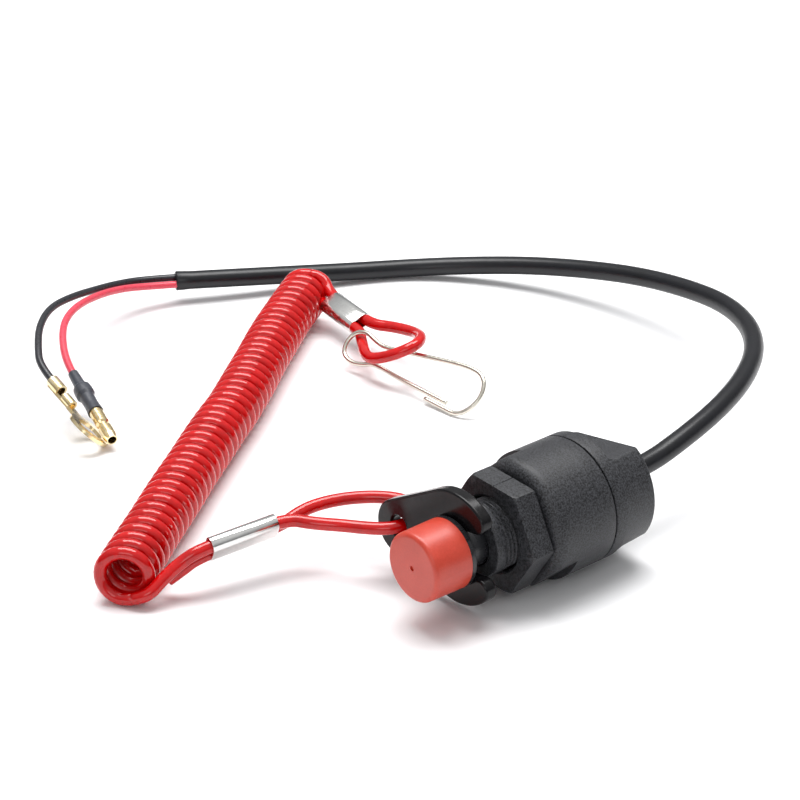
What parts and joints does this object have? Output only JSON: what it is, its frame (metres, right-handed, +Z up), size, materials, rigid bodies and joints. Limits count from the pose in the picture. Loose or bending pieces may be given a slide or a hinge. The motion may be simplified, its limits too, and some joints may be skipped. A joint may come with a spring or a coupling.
{
  "type": "engine kill switch with lanyard",
  "caption": "Engine kill switch for a panel: threaded neck with nut, red push button, stop clip on a coiled lanyard with a snap hook, and a two-wire cable.",
  "frame": {"origin": "on the switch axis, in the plane of the barrel's front shoulder that seats on a panel", "axes": "+Y along the switch axis from the button to the cable, +Z up as it lies on a table, +X towards the open side of the stop clip"},
  "size_m": [0.1747, 0.1836, 0.0278],
  "materials": {
    "black_nylon": "fine moulded grain",
    "black_acetal": "smooth",
    "red_cap_plastic": "satin",
    "seal_rubber": "matte",
    "spring_steel": "drawn wire",
    "contact_brass": "plain",
    "carrier_plastic": "plain",
    "crimp_steel": "plated",
    "black_clip_plastic": "polished",
    "black_pvc": "satin",
    "black_wire_pvc": "satin",
    "red_wire_pvc": "satin",
    "red_cord": "glossy and slightly clear",
    "crimp_aluminium": "pressed sheet",
    "nickel_wire": "nickel plated",
    "boot_vinyl": "soft vinyl",
    "terminal_brass": "gilt"
  },
  "bodies": {
    "switch": {"housing": "black_nylon", "rear_cap": "black_nylon", "stem_seal": "seal_rubber", "fixed_contact_left": "contact_brass", "fixed_contact_right": "contact_brass", "contact_carrier": "carrier_plastic", "cable_clamp": "crimp_steel", "cable_sheath": "black_pvc", "black_wire": "black_wire_pvc", "red_wire": "red_wire_pvc", "black_core_tail": "black_wire_pvc", "red_core_tail": "red_wire_pvc", "bullet_boot": "boot_vinyl", "bullet_terminal": "terminal_brass", "ring_terminal": "terminal_brass", "near_sleeve": "crimp_aluminium", "switch_loop": "red_cord", "lanyard_coil": "red_cord", "hook_loop": "red_cord", "far_sleeve": "crimp_aluminium"},
    "button": {"plunger": "black_acetal", "red_cap": "red_cap_plastic", "moving_contact": "contact_brass", "return_spring": "spring_steel"},
    "nut": {"hex_nut": "black_nylon"},
    "clip": {"stop_clip": "black_clip_plastic"},
    "hook": {"snap_hook": "nickel_wire"}
  },
  "joints": [
    {"name": "button_press", "type": "slide", "parent": "switch", "child": "button", "axis": [0, 1, 0], "range_m": [0, 0.0018], "stiffness_N_per_m": 900, "deforming": ["return_spring"]},
    {"name": "nut_turn", "type": "hinge", "parent": "switch", "child": "nut", "pos_m": [0, -0.00325, 0], "axis": [0, 1, 0], "continuous": true},
    {"name": "lanyard_release", "type": "slide", "parent": "button", "child": "clip", "axis": [-0.9848, 0, -0.1736], "range_m": [0, 0.025], "deforming": ["switch_loop"]},
    {"name": "hook_swing", "type": "hinge", "parent": "switch", "child": "hook", "pos_m": [-0.0975, 0.0408, -0.00834], "axis": [0.7116, -0.7016, -0.038], "range_deg": [0, 45], "deforming": ["hook_loop"]}
  ]
}
